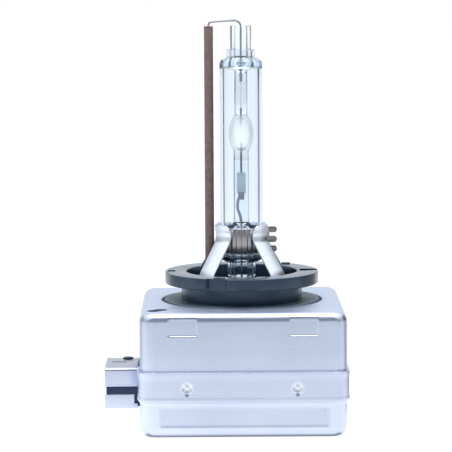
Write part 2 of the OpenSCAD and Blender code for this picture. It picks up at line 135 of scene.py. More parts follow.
def ring_faces(rows, count, closed_rows):
    """Quads between closed rows of count points each."""
    faces = []
    for i in range(rows if closed_rows else rows - 1):
        for j in range(count):
            a, b = i * count, ((i + 1) % rows) * count
            k = (j + 1) % count
            faces.append((a + j, a + k, b + k, b + j))
    return faces


def end_faces(rows, count):
    """The two faces that close the first and the last of the rows."""
    last = (rows - 1) * count
    return [tuple(range(count)), tuple(range(last, last + count))]


def lathe(outline, steps=128):
    """Turns a closed outline of (radius, height) about Z. Points on the axis are merged later."""
    points = []
    for radius, height in outline:
        for j in range(steps):
            a = 2 * math.pi * j / steps
            points.append((radius * math.cos(a), radius * math.sin(a), height))
    return points, ring_faces(len(outline), steps, True)


def sweep(path, radius):
    """A round wire along a path of points, with a frame carried along it without twist."""
    points = []
    sides = 16
    path = [Vector(p) for p in path]
    tangent = (path[1] - path[0]).normalized()
    side = tangent.orthogonal().normalized()
    for i, here in enumerate(path):
        ahead = path[min(i + 1, len(path) - 1)] - path[max(i - 1, 0)]
        turn = tangent.rotation_difference(ahead.normalized())
        side = (turn @ side).normalized()
        tangent = ahead.normalized()
        other = tangent.cross(side)
        for j in range(sides):
            a = 2 * math.pi * j / sides
            points.append(here + radius * (math.cos(a) * side + math.sin(a) * other))
    return points, ring_faces(len(path), sides, False) + end_faces(len(path), sides)


def smooth_path(points, bends, steps=8):
    """A polyline through 3-D points with each inner corner replaced by an arc-like curve."""
    path = [Vector(points[0])]
    for before, here, after, bend in zip(points, points[1:], points[2:], bends):
        here = Vector(here)
        into = Vector(before) - here
        out = Vector(after) - here
        reach = min(bend, into.length / 2, out.length / 2)
        start, end = here + into.normalized() * reach, here + out.normalized() * reach
        for k in range(steps + 1):
            t = k / steps
            path.append((1 - t) ** 2 * start + 2 * t * (1 - t) * here + t ** 2 * end)
    path.append(Vector(points[-1]))
    return path


def strip(name, path, width, thickness, tip=0.0, angle=0.0, corner=0.1):
    """A flat strip bent along a path in the XZ plane, its far end rounded by tip, turned about Z."""
    far = [0]
    for a, b in zip(path, path[1:]):
        far.append(far[-1] + (b - a).length)
    turn = Matrix.Rotation(math.radians(angle), 3, "Z")
    points = []
    for i, here in enumerate(path):
        ahead = (path[min(i + 1, len(path) - 1)] - path[max(i - 1, 0)]).normalized()
        out = Vector((-ahead.z, 0, ahead.x))
        left = far[-1] - far[i]
        half = width / 2
        if left < tip:
            half -= tip - math.sqrt(tip ** 2 - (tip - left) ** 2)
        t = thickness / 2
        section = rounded([(-half, -t, corner), (half, -t, corner),
                           (half, t, corner), (-half, t, corner)], 3)
        points += [turn @ (here + Vector((0, across, 0)) + off * out) for across, off in section]
    rows, count = len(path), len(section)
    return build(name, points, ring_faces(rows, count, False) + end_faces(rows, count))


def build(name, points, faces):
    """A mesh object from points in millimetres, with doubled points merged and normals facing out."""
    mesh = bpy.data.meshes.new(name)
    mesh.from_pydata([Vector(p) * MM for p in points], [], faces)
    shape = bmesh.new()
    shape.from_mesh(mesh)
    bmesh.ops.remove_doubles(shape, verts=shape.verts, dist=1e-7)
    bmesh.ops.dissolve_degenerate(shape, edges=shape.edges, dist=1e-8)
    bmesh.ops.recalc_face_normals(shape, faces=shape.faces)
    shape.to_mesh(mesh)
    shape.free()
    piece = bpy.data.objects.new(name, mesh)
    bpy.context.scene.collection.objects.link(piece)
    return piece


def bake_modifiers(piece):
    """Applies the modifiers to the mesh."""
    bpy.context.view_layer.update()
    shaped = bpy.data.meshes.new_from_object(piece.evaluated_get(bpy.context.evaluated_depsgraph_get()))
    piece.modifiers.clear()
    piece.data = shaped


def combine(piece, operation, others):
    """Runs a boolean with each of the others and uses them up."""
    for other in others:
        boolean = piece.modifiers.new("combine", "BOOLEAN")
        boolean.operation = operation
        boolean.solver = "EXACT"
        boolean.object = other
    bake_modifiers(piece)
    for other in others:
        bpy.data.objects.remove(other)


def cut(piece, *cutters):
    """Takes the cutters' shapes out of the piece."""
    combine(piece, "DIFFERENCE", cutters)


def fuse(piece, *others):
    """Joins overlapping solids into one."""
    combine(piece, "UNION", others)


def bevel(piece, width, segments=2):
    """Rounds the edges that turn by more than 40 degrees."""
    rounder = piece.modifiers.new("bevel", "BEVEL")
    rounder.width = width * MM
    rounder.segments = segments
    rounder.limit_method = "ANGLE"
    rounder.angle_limit = math.radians(40)
    bake_modifiers(piece)


def join(piece, *others):
    """Puts solids that don't touch into one mesh."""
    shape = bmesh.new()
    for part in (piece, *others):
        shape.from_mesh(part.data)
    shape.to_mesh(piece.data)
    shape.free()
    for other in others:
        bpy.data.objects.remove(other)


def turn_inside_out(piece):
    """Makes a closed surface stand for a hollow."""
    shape = bmesh.new()
    shape.from_mesh(piece.data)
    bmesh.ops.reverse_faces(shape, faces=shape.faces)
    shape.to_mesh(piece.data)
    shape.free()


# How a prism is laid: its outline lies across the named axis
AXES = {
    "X": Matrix(((0, 0, 1, 0), (1, 0, 0, 0), (0, 1, 0, 0), (0, 0, 0, 1))),
    "Y": Matrix(((1, 0, 0, 0), (0, 0, 1, 0), (0, 1, 0, 0), (0, 0, 0, 1))),
    "Z": Matrix.Identity(4),
}


def prism(name, outline, low, high, axis="Z", angle=0.0):
    """A prism over a closed outline in the plane across the axis, turned about Z."""
    count = len(outline)
    points = [(x, y, low) for x, y in outline] + [(x, y, high) for x, y in outline]
    place = Matrix.Rotation(math.radians(angle), 4, "Z") @ AXES[axis]
    return build(name, [place @ Vector(p) for p in points], ring_faces(2, count, False) + end_faces(2, count))


def box_outline(low, high, radius=0.0):
    """A rectangle with rounded corners, from its low corner to its high corner."""
    return rounded([(low[0], low[1], radius), (high[0], low[1], radius),
                    (high[0], high[1], radius), (low[0], high[1], radius)], 4)


def revolve(name, outline, steps=128):
    """A solid turned about Z from a closed outline of (radius, height, rounding)."""
    return build(name, *lathe(rounded(outline, 5), steps))


def finish_piece(piece, material, slot, *nodes, sharp=32):
    """Shades the piece, gives it its material and fixes it to the frame in place of its CAD nodes."""
    mesh = piece.data
    mesh.materials.clear()
    mesh.materials.append(material)
    mesh.shade_smooth()
    mesh.set_sharp_from_angle(angle=math.radians(sharp))
    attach(piece, "root")
    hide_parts(*nodes)
    return piece


# ---------------- material helpers
def new_material(name):
    """A new material, its node tree and its shader."""
    material = bpy.data.materials.new(name)
    material.use_nodes = True
    return material, material.node_tree, material.node_tree.nodes["Principled BSDF"]


def plug_in(tree, values, sockets):
    """Sets each socket from a value, which is another socket, a number or three numbers."""
    for value, socket in zip(values, sockets):
        if isinstance(value, bpy.types.NodeSocket):
            tree.links.new(value, socket)
        elif isinstance(value, tuple) and socket.type == "RGBA":
            socket.default_value = (*value, 1)
        else:
            socket.default_value = value


def calculate(tree, operation, *values):
    """The result of a calculation with sockets or numbers."""
    node = tree.nodes.new("ShaderNodeMath")
    node.operation = operation
    plug_in(tree, values, node.inputs)
    return node.outputs[0]


def vector_node(tree, operation, *values):
    """A calculation with vectors: its results are Vector and Value."""
    node = tree.nodes.new("ShaderNodeVectorMath")
    node.operation = operation
    plug_in(tree, values, node.inputs)
    return node.outputs


def product(tree, *values):
    """All the values multiplied together."""
    result = values[0]
    for value in values[1:]:
        result = calculate(tree, "MULTIPLY", result, value)
    return result


def components(tree, vector):
    """The X, Y and Z of a vector."""
    split = tree.nodes.new("ShaderNodeSeparateXYZ")
    tree.links.new(vector, split.inputs[0])
    return split.outputs


def object_place(tree):
    """X, Y and Z in the object's own coordinates."""
    return components(tree, tree.nodes.new("ShaderNodeTexCoord").outputs["Object"])


def facing(tree):
    """The X, Y and Z of the way a face looks."""
    return components(tree, tree.nodes.new("ShaderNodeNewGeometry").outputs["Normal"])


def distance_from(tree, value, middle):
    """How far a value is from a middle, to either side."""
    return calculate(tree, "ABSOLUTE", calculate(tree, "SUBTRACT", value, middle))


def noise(tree, scale, stretch=(1, 1, 1), detail=4.0, roughness=0.55):
    """Noise in the object's own coordinates. scale is cycles per metre."""
    place = tree.nodes.new("ShaderNodeTexCoord")
    mapping = tree.nodes.new("ShaderNodeMapping")
    mapping.inputs["Scale"].default_value = stretch
    texture = tree.nodes.new("ShaderNodeTexNoise")
    texture.inputs["Scale"].default_value = scale
    texture.inputs["Detail"].default_value = detail
    texture.inputs["Roughness"].default_value = roughness
    tree.links.new(place.outputs["Object"], mapping.inputs["Vector"])
    tree.links.new(mapping.outputs["Vector"], texture.inputs["Vector"])
    return texture.outputs["Fac"]


def spread(tree, value, low, high, start=0.3, end=0.7):
    """Maps start to end onto low to high, and no further. The defaults suit noise."""
    ranger = tree.nodes.new("ShaderNodeMapRange")
    ranger.inputs["From Min"].default_value = start
    ranger.inputs["From Max"].default_value = end
    ranger.inputs["To Min"].default_value = low
    ranger.inputs["To Max"].default_value = high
    tree.links.new(value, ranger.inputs["Value"])
    return ranger.outputs["Result"]


def mixed(tree, factor, first, second):
    """A colour between two others, each a socket or three numbers."""
    mix = tree.nodes.new("ShaderNodeMix")
    mix.data_type = "RGBA"
    plug_in(tree, (factor, first, second), (mix.inputs[0], mix.inputs[6], mix.inputs[7]))
    return mix.outputs[2]


def mixed_values(tree, factor, first, second):
    """A number between two others, all sockets."""
    mix = tree.nodes.new("ShaderNodeMix")
    mix.data_type = "FLOAT"
    plug_in(tree, (factor, first, second), (mix.inputs[0], mix.inputs[2], mix.inputs[3]))
    return mix.outputs[0]


def bump(tree, shader, value, strength, distance):
    """A relief from a value, distance millimetres deep."""
    node = tree.nodes.new("ShaderNodeBump")
    node.inputs["Strength"].default_value = strength
    node.inputs["Distance"].default_value = distance * MM
    tree.links.new(value, node.inputs["Height"])
    tree.links.new(node.outputs["Normal"], shader.inputs["Normal"])


# ---------------- materials
STREAK_SCALE, STREAK_LENGTH, STREAK_SHARE = 4200, 0.02, 0.45
GLASS_BASE, GLASS_IOR = (0.97, 0.99, 1.0), 1.46
CHAMBER_HAZE = (60.2, 5.0, 0.5)
# Painted glow of the frosted chamber: its strength and colour.
HAZE_PAINTED_GLOW, HAZE_GLOW_COLOUR = 0.12, (1.0, 0.97, 0.93)


def brushed_metal(name, dark, light, rough=(0.24, 0.36), grain=1.0, height=0.004, level=0.0):
    """Sheet or strip metal with streaks along X, or along Y on faces that look along X.
    level is how much rougher the faces that look up are."""
    material, tree, shader = new_material(name)
    scale = STREAK_SCALE * grain
    along_x = noise(tree, scale, (STREAK_LENGTH, 1, 1), 3)
    along_y = noise(tree, scale, (1, STREAK_LENGTH, 1), 3)
    looks_along_x = calculate(tree, "ABSOLUTE", facing(tree)["X"])
    streaks = mixed_values(tree, spread(tree, looks_along_x, 0, 1, 0.6, 0.8), along_x, along_y)
    clouds = noise(tree, 90, detail=3)
    fine = calculate(tree, "MULTIPLY", streaks, STREAK_SHARE)
    tone = calculate(tree, "MULTIPLY_ADD", clouds, 1 - STREAK_SHARE, fine)
    colour = mixed(tree, spread(tree, tone, 0, 1, 0.35, 0.65), dark, light)
    tree.links.new(colour, shader.inputs["Base Color"])
    roughness = spread(tree, streaks, *rough)
    if level:
        extra = spread(tree, facing(tree)["Z"], 0, level, 0.9, 0.99)
        roughness = calculate(tree, "ADD", roughness, extra)
    tree.links.new(roughness, shader.inputs["Roughness"])
    shader.inputs["Metallic"].default_value = 1
    bump(tree, shader, streaks, 0.35, height)
    return material


def moulded_plastic(name, dark, light, rough=(0.34, 0.48), grain=1600, height=0.01, sheen=(1, 1, 1),
                    gloss=0.5):
    """Satin moulded plastic with a fine spark-eroded grain and slight flow marks."""
    material, tree, shader = new_material(name)
    flow = noise(tree, 160, (1, 1, 2.5), 3)
    fine = noise(tree, grain, detail=2)
    colour = mixed(tree, spread(tree, flow, 0, 1), dark, light)
    tree.links.new(colour, shader.inputs["Base Color"])
    tree.links.new(spread(tree, flow, *rough), shader.inputs["Roughness"])
    shader.inputs["Specular Tint"].default_value = (*sheen, 1)
    shader.inputs["Specular IOR Level"].default_value = gloss
    bump(tree, shader, fine, 0.3, height)
    return material


def speckled(name, dark, light, rough=(0.55, 0.75), grain=900):
    """A matte fired, sintered or cast material with a fine speckle."""
    material, tree, shader = new_material(name)
    fine = noise(tree, grain, detail=5, roughness=0.7)
    colour = mixed(tree, spread(tree, fine, 0, 1), dark, light)
    tree.links.new(colour, shader.inputs["Base Color"])
    tree.links.new(spread(tree, fine, *rough), shader.inputs["Roughness"])
    bump(tree, shader, fine, 0.4, 0.02)
    return material


def clear_glass(name, tint, density, haze=None):
    """Drawn glass with faint long waves in its surface and a tint that deepens with its thickness. density
    is per metre. haze is the height, the reach and the roughness of a frosted zone, which also has a painted
    glow standing in for the light the frost scatters."""
    material, tree, shader = new_material(name)
    shader.inputs["Base Color"].default_value = (*GLASS_BASE, 1)
    shader.inputs["Transmission Weight"].default_value = 1
    shader.inputs["IOR"].default_value = GLASS_IOR
    waves = noise(tree, 380, (1, 1, 0.12), 2)
    roughness = spread(tree, waves, 0.0, 0.03)
    if haze:
        middle, reach, most = haze
        away = distance_from(tree, object_place(tree)["Z"], middle * MM)
        near = spread(tree, away, 1, 0, 0.7 * reach * MM, reach * MM)
        grain = spread(tree, noise(tree, 1500, detail=4), 0.4 * most, most)
        frost = product(tree, near, grain)
        roughness = calculate(tree, "ADD", frost, roughness)
        # Painted glow: the frosted zone emits faint light, standing in for the light it scatters.
        shader.inputs["Emission Color"].default_value = (*HAZE_GLOW_COLOUR, 1)
        glow = spread(tree, frost, 0, HAZE_PAINTED_GLOW, 0, most)
        tree.links.new(glow, shader.inputs["Emission Strength"])
    tree.links.new(roughness, shader.inputs["Roughness"])
    bump(tree, shader, waves, 0.2, 0.002)
    inside = tree.nodes.new("ShaderNodeVolumeAbsorption")
    inside.inputs["Color"].default_value = (*tint, 1)
    inside.inputs["Density"].default_value = density
    tree.links.new(inside.outputs[0], tree.nodes["Material Output"].inputs["Volume"])
    return material


CAN_STEEL = brushed_metal("can_steel", (0.54, 0.612, 0.765), (0.60, 0.672, 0.825), level=0.2)
FOOT_STEEL = brushed_metal("foot_steel", (0.58, 0.64, 0.80), (0.64, 0.70, 0.86))
SHIELD_STEEL = brushed_metal("shield_steel", (0.58, 0.64, 0.80), (0.64, 0.70, 0.86))
LEG_STEEL = brushed_metal("leg_steel", (0.68, 0.74, 0.85), (0.76, 0.81, 0.90), (0.14, 0.24), 1.0, 0.002)
BAND_STEEL = brushed_metal("band_steel", (0.36, 0.35, 0.36), (0.50, 0.49, 0.50), (0.25, 0.4), 1.2, 0.004)
RING_PLASTIC = moulded_plastic("ring_plastic", (0.015, 0.030, 0.060), (0.025, 0.044, 0.082), (0.18, 0.28),
                               sheen=(0.68, 0.84, 1.0), gloss=0.72)
SEAL_RUBBER = moulded_plastic("seal_rubber", (0.11, 0.16, 0.21), (0.16, 0.22, 0.28), (0.4, 0.55), 1100, 0.02,
                              sheen=(0.8, 0.92, 1.0))
PLUG_PLASTIC = moulded_plastic("connector_plastic", (0.012, 0.024, 0.07), (0.022, 0.036, 0.10),
                               sheen=(0.7, 0.84, 1.0))
HOUSING_PLASTIC = moulded_plastic("housing_plastic", (0.02, 0.022, 0.026), (0.035, 0.038, 0.042))
BOBBIN_PLASTIC = moulded_plastic("bobbin_plastic", (0.62, 0.58, 0.46), (0.74, 0.70, 0.58))
FILM_CASE = moulded_plastic("film_case", (0.62, 0.44, 0.08), (0.74, 0.54, 0.12), (0.2, 0.3))
RESISTOR_BODY = moulded_plastic("resistor_body", (0.50, 0.40, 0.27), (0.62, 0.52, 0.37))
CERAMIC = speckled("ceramic", (0.150, 0.102, 0.091), (0.265, 0.193, 0.177))
FERRITE = speckled("ferrite", (0.05, 0.05, 0.055), (0.10, 0.10, 0.11), (0.45, 0.6))
POTTING = speckled("potting", (0.10, 0.11, 0.125), (0.15, 0.165, 0.18), (0.35, 0.5), 300)
BRASS = brushed_metal("contact_brass", (0.66, 0.48, 0.20), (0.80, 0.62, 0.30), (0.25, 0.4))
PIN_PLATING = brushed_metal("pin_plating", (0.72, 0.56, 0.26), (0.86, 0.70, 0.38), (0.16, 0.28))
COPPER = brushed_metal("copper", (0.50, 0.20, 0.08), (0.68, 0.32, 0.14), (0.25, 0.4))
TUNGSTEN = brushed_metal("tungsten", (0.24, 0.24, 0.26), (0.34, 0.34, 0.36), (0.3, 0.45))
FOIL = brushed_metal("foil", (0.74, 0.83, 0.93), (0.86, 0.94, 1.0), (0.3, 0.45))
WIRE_METAL = brushed_metal("wire", (0.28, 0.30, 0.36), (0.42, 0.44, 0.50), (0.25, 0.4))
OUTER_GLASS = clear_glass("outer_glass", (0.34, 0.61, 0.93), 90)
QUARTZ = clear_glass("quartz", (0.5, 0.76, 1.0), 50, CHAMBER_HAZE)


# How much brighter the foot of the lower can is painted (a painted highlight), and the colours of other local
# changes: painted highlights, painted shade and painted sheen
FOOT_PAINTED_HIGHLIGHT = 1.16
# Painted highlight round each staked punch mark.
STAKE_HIGHLIGHT = (0.93, 0.95, 1.0)
# Painted shade: the darker colour of the band's ear lugs, and where along X it comes in.
EAR_SHADE, EAR_SHADE_X = (0.25, 0.235, 0.235), (5.3, 6.0)
# Painted sheen on the faces that look up, for the ring and the upper shield.
RING_TOP_SHEEN, SHIELD_TOP_SHEEN = (0.070, 0.100, 0.135), (0.46, 0.50, 0.59)


def coloured(material):
    """A material's node tree, its colour socket and the colour that it has so far."""
    colour = material.node_tree.nodes["Principled BSDF"].inputs["Base Color"]
    return material.node_tree, colour, colour.links[0].from_socket


def paint_foot_highlight(material):
    """Paints the foot of the lower can brighter round its pressed panel: a painted highlight."""
    tree, colour, plain = coloured(material)
    place = object_place(tree)
    foot = spread(tree, place["Z"], 1, 0, (STEP_Z - 0.2) * MM, (STEP_Z + 0.3) * MM)
    masks = []
    for axis, (low, high) in (("X", PANEL_X), ("Z", PANEL_Z)):
        half = (high - low) / 2
        away = distance_from(tree, place[axis], (low + high) / 2 * MM)
        masks.append(spread(tree, away, 1, 0, (half - 0.3) * MM, (half + 0.4) * MM))
    outside = spread(tree, product(tree, *masks), 1, 0, 0, 1)
    scale = spread(tree, product(tree, foot, outside), 1, FOOT_PAINTED_HIGHLIGHT, 0, 1)
    tree.links.new(vector_node(tree, "MULTIPLY", plain, scale)["Vector"], colour)


def paint_stake_highlights(material, bright):
    """A painted highlight: the sheet on the front is painted brighter round each staked punch mark."""
    tree, colour, plain = coloured(material)
    place = object_place(tree)
    front = spread(tree, place["Y"], 1, 0, -1 * MM, 1 * MM)
    flat = tree.nodes.new("ShaderNodeCombineXYZ")
    plug_in(tree, (place["X"], 0, place["Z"]), flat.inputs)
    for middle in PUNCH_X:
        spot = (middle * MM, 0, (PUNCH_Z - 0.1) * MM)
        away = vector_node(tree, "DISTANCE", flat.outputs[0], spot)["Value"]
        near = spread(tree, away, 0.8, 0, 0.6 * MM, 1.55 * MM)
        plain = mixed(tree, product(tree, near, front), plain, bright)
    tree.links.new(plain, colour)


def tint_from(material, tint, start, end):
    """Another colour that comes in along X, between two places."""
    tree, colour, plain = coloured(material)
    amount = spread(tree, object_place(tree)["X"], 0, 1, start * MM, end * MM)
    tree.links.new(mixed(tree, amount, plain, tint), colour)


def paint_top_sheen(material, top_sheen, height):
    """A painted sheen: a paler colour on the faces that look up, above a height."""
    tree, colour, plain = coloured(material)
    up = spread(tree, facing(tree)["Z"], 0, 1, 0.85, 0.99)
    high = spread(tree, object_place(tree)["Z"], 0, 1, (height - 0.3) * MM, height * MM)
    tree.links.new(mixed(tree, product(tree, up, high), plain, top_sheen), colour)


# Painted highlight on the lower can's foot round its pressed panel.
paint_foot_highlight(FOOT_STEEL)
# Painted highlight round the staked punch marks.
paint_stake_highlights(FOOT_STEEL, STAKE_HIGHLIGHT)
# Painted shade on the band's ear lugs.
tint_from(BAND_STEEL, EAR_SHADE, *EAR_SHADE_X)
# Painted sheen on the top faces of the ring and the upper shield.
paint_top_sheen(RING_PLASTIC, RING_TOP_SHEEN, RING_TOP - 0.3)
paint_top_sheen(SHIELD_STEEL, SHIELD_TOP_SHEEN, SHIELD_HIGH.z - 0.3)

for node, material in {
    "ignitor_housing": HOUSING_PLASTIC, "housing_cover": HOUSING_PLASTIC, "transformer_core": FERRITE,
    "transformer_bobbin": BOBBIN_PLASTIC, "secondary_winding": COPPER, "primary_winding": COPPER,
    "spark_gap": CERAMIC, "capacitor": FILM_CASE, "bleed_resistor": RESISTOR_BODY,
    "lead_frame": BRASS, "potting_bed": POTTING, "high_voltage_contact": BRASS, "return_contact": BRASS,
    "connector_pins": PIN_PLATING, "upper_electrode": TUNGSTEN, "lower_electrode": TUNGSTEN,
    "upper_foil": FOIL, "lower_foil": FOIL, "lower_lead": WIRE_METAL, "return_wire": WIRE_METAL,
    "ceramic_tube": CERAMIC, "outer_glass": OUTER_GLASS, "arc_tube": QUARTZ, "clamp_band": BAND_STEEL,
    "leg_front_left": LEG_STEEL, "leg_front_right": LEG_STEEL, "leg_rear_left": LEG_STEEL,
    "leg_rear_right": LEG_STEEL, "upper_can": CAN_STEEL, "lower_can": CAN_STEEL, "base_ring": RING_PLASTIC,
    "base_seal": SEAL_RUBBER, "connector_shroud": PLUG_PLASTIC, "connector_upper_shield": SHIELD_STEEL,
    "connector_lower_shield": SHIELD_STEEL,
}.items():
    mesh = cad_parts[node].data
    mesh.materials.clear()
    mesh.materials.append(material)


# ---------------- metal cans
def graded(low, high, edges, fine=0.1, reach=0.35):
    """Places from low to high, close together near the given edges."""
    coarse = 1.5
    places, here = [low], low
    while here < high - 1e-6:
        near = min((abs(here - edge) for edge in edges), default=coarse)
        nearest = min((edge - here for edge in edges if edge > here), default=coarse)
        step = fine if near < reach else max(fine, min(coarse, nearest - reach))
        here = min(high, here + step)
        places.append(here)
    return places


def square_loop(half, corner, inset, height, stops):
    """A level loop round a rounded square, from the front side's left end. stops are places on one side."""
    flat = half - corner
    radius = corner - inset
    loop = []
    for side in range(4):
        turn = Matrix.Rotation(side * math.pi / 2, 2)
        row = [(s, -flat - radius) for s in stops[side]]
        row += arc((flat, -flat), radius, -90, 0, 12)[1:-1]
        loop += [(*(turn @ Vector(point)), height) for point in row]
    return loop


def round_loop(radius, height, like):
    """A level circle with its points at the same bearings as another loop's."""
    return [(*(Vector(p[:2]).normalized() * radius), height) for p in like]


def ramp(value, middle, soft):
    """A smooth step from 0 to 1 across middle, soft wide on both sides of it."""
    t = min(1, max(0, (value - middle + soft) / (2 * soft)))
    return t * t * (3 - 2 * t)


def pressing(x, z, sides, heights, softness):
    """How far a pressed rectangle reaches at a point: 1 inside it, 0 outside."""
    (left, right), (low, high) = sides, heights
    soft_left, soft_right, soft_low, soft_high = softness
    across = ramp(x, left, soft_left) * (1 - ramp(x, right, soft_right))
    return across * ramp(z, low, soft_low) * (1 - ramp(z, high, soft_high))


# Each SOFT lists how soft a pressed rectangle's left, right, low and high edges are
RECESS_X, RECESS_W = 12.2, 5.75
RECESS_Z = (20.9, 24.2)
RECESS_DEPTH = 0.24
RECESS_SOFT = {-1: (0.4, 0.14, 0.17, 0.5), 1: (0.2, 0.14, 0.14, 0.5)}
PANEL_DEPTH = 0.10
PANEL_SOFT = (0.5, 0.5, 0.45, 0.5)
PUNCH_DEPTH, BALL_HEIGHT, NICK_DEPTH = 0.4, 0.34, 0.26
SCRATCH, SCRATCH_DEPTH = (Vector((16.4, 6.3)), Vector((15.9, 4.6))), 0.12
WAIST = 0.06
HOLE_RIM = 0.22
OVAL_AT, OVAL_R, OVAL_REACH = (-17.4, -15.9), 1.3, 1.1
PLUG_GROW = 0.35


def press_upper(x, z):
    """How deep the front of the upper can is pressed: its two recesses."""
    depth = 0
    for side in (-1, 1):
        sides = (side * RECESS_X - RECESS_W / 2, side * RECESS_X + RECESS_W / 2)
        depth += RECESS_DEPTH * pressing(x, z, sides, RECESS_Z, RECESS_SOFT[side])
    return depth


def waist(z):
    """How far the upper can draws in just above the lower can's lip."""
    return WAIST * ramp(z, BAND_TOP + 0.24, 0.26) * (1 - ramp(z, BAND_TOP + 1.5, 1.0))


def press_lower(x, z):
    """How deep the front of the lower can is pressed: its panel, the staked punch marks with their small
    centre ball and nick, and one scratch."""
    depth = PANEL_DEPTH * pressing(x, z, PANEL_X, PANEL_Z, PANEL_SOFT)
    for middle in PUNCH_X:
        away = math.hypot(x - middle, z - PUNCH_Z) / PUNCH_R
        below = math.hypot(x - middle, (z - PUNCH_Z) / 1.3 + 0.85) / PUNCH_R
        depth += PUNCH_DEPTH * (1 - ramp(away, 0.8, 0.35)) - BALL_HEIGHT * (1 - ramp(away, 0.3, 0.28))
        depth += NICK_DEPTH * (1 - ramp(below, 0.35, 0.3))
    start, end = SCRATCH
    here = Vector((x, z)) - start
    along = min(1, max(0, here.dot(end - start) / (end - start).length_squared))
    return depth + SCRATCH_DEPTH * (1 - ramp((here - along * (end - start)).length, 0.1, 0.1))


def press_front(loop, half, press):
    """Pushes in the points of a loop that are on the pressed front side."""
    front = 1.5 - half
    return [(x, y + press(x, z), z) if y < front else (x, y, z) for x, y, z in loop]


def plug_window(top):
    """What the connector's way through the side of the cans takes out."""
    low = (SHIELD_LOW.y - PLUG_GROW, FOOT_SHIELD_LOW.z - PLUG_GROW)
    return prism("window", box_outline(low, (SHIELD_HIGH.y + PLUG_GROW, top), 0.6), -30, -18, "X")


def add_upper_can():
    """The upper can: a drawn square box, open below, with a rimmed hole and a small oval one in its top."""
    flat = CAN_HALF - CAN_CORNER
    edges = [side * RECESS_X + end * RECESS_W / 2 for side in (-1, 1) for end in (-1, 1)]
    plain = graded(-flat, flat, [])
    stops = (graded(-flat, flat, edges), plain, plain, plain)
    low = LOWER_LOW.z + STEP_Z + SHEET
    levels = graded(low + 0.2, CAN_TOP - CAN_EDGE, [BAND_TOP + 0.2, RECESS_Z[0]])
    edge_middle = (CAN_EDGE, CAN_TOP - CAN_EDGE)

    def level(inset, height):
        loop = square_loop(CAN_HALF, CAN_CORNER, inset, height, stops)
        return press_front(loop, CAN_HALF, press_upper)

    loops = [level(0.12, low), *[level(waist(z), z) for z in levels]]
    loops += [level(inset, z) for inset, z in arc(edge_middle, CAN_EDGE, 180, 90, 18)[1:]]
    rim = [(1.1, 0), (0.7, HOLE_RIM * 0.7), *arc((0.3, 0), HOLE_RIM, 90, 180, 5),
           (0.05, -SHEET), (0.8, -SHEET)]
    like = loops[-1]
    loops += [round_loop(CAN_HOLE + out, CAN_TOP + up, like) for out, up in rim]
    loops += [level(inset, z) for inset, z in arc(edge_middle, CAN_EDGE - SHEET, 90, 180, 8)]
    loops += [level(SHEET + waist(z), z) for z in reversed(levels[:-1])]
    loops.append(level(SHEET - 0.1, low))
    count = len(loops[0])
    can = build("upper_can_shell", [p for loop in loops for p in loop], ring_faces(len(loops), count, True))
    oval = box_outline((-OVAL_REACH - OVAL_R, -OVAL_R), (OVAL_REACH + OVAL_R, OVAL_R), OVAL_R - 0.01)
    turn = Matrix.Rotation(math.pi / 4, 2)
    spots = [turn @ Vector(p) + Vector(OVAL_AT) for p in oval]
    cut(can, prism("oval", spots, CAN_TOP - 2, CAN_TOP + 1), plug_window(SHIELD_HIGH.z + PLUG_GROW))
    return finish_piece(can, CAN_STEEL, "can_steel", "upper_can", sharp=40)


def add_lower_can():
    """The lower can: a tray with a wide band over a narrower foot."""
    flat = BAND_HALF - CAN_CORNER - SHEET
    edges = [*PANEL_X, *[x + end * 0.6 for x in PUNCH_X for end in (-1, 0, 1)], 16.2]
    plain = graded(-flat, flat, [])
    stops = (graded(-flat, flat, edges, reach=0.8), plain, plain, plain)
    corner = BAND_HALF - flat
    step = BAND_HALF - FOOT_HALF
    slope = 0.55
    lip = 0.14
    flare = 0.10

    def level(inset, height):
        loop = square_loop(BAND_HALF, corner, inset, height, stops)
        return press_front(loop, BAND_HALF, press_lower)

    foot = graded(FLOOR_Z + FOOT_EDGE, STEP_Z - slope, PANEL_Z, reach=0.9, fine=0.15)
    band = graded(STEP_Z + slope, BAND_TOP - lip, [PUNCH_Z - 1, PUNCH_Z], reach=1.1)
    swing = [(step * (1 - ramp(z, STEP_Z, slope)), z)
             for z in graded(STEP_Z - slope, STEP_Z + slope, [STEP_Z])]
    edge_middle = (step + FOOT_EDGE, FLOOR_Z + FOOT_EDGE)
    outline = arc(edge_middle, FOOT_EDGE, 270, 180, 14)
    outline += [(step, z) for z in foot[1:-1]] + swing
    outline += [(flare * (1 - ramp(z, BAND_TOP - 0.9, 0.6)), z) for z in band[1:-1]]
    outline += arc((lip, BAND_TOP - lip), lip, 180, 90, 6)
    outline += arc((SHEET - lip, BAND_TOP - lip), lip, 90, 0, 4)
    outline += [(SHEET, z) for z in band[-2:0:-1]]
    outline += [(inset + SHEET, z + 0.1) for inset, z in reversed(swing)]
    outline += [(step + SHEET, z) for z in foot[-2:0:-1]]
    outline += arc(edge_middle, FOOT_EDGE - SHEET, 180, 270, 10)
    loops = [level(inset, z) for inset, z in outline]
    rows, count = len(loops), len(loops[0])
    faces = ring_faces(rows, count, False) + end_faces(rows, count)
    can = build("lower_can_shell", [p for loop in loops for p in loop], faces)
    cut(can, plug_window(BAND_TOP + 1))
    return finish_piece(can, FOOT_STEEL, "can_steel", "lower_can", sharp=40)


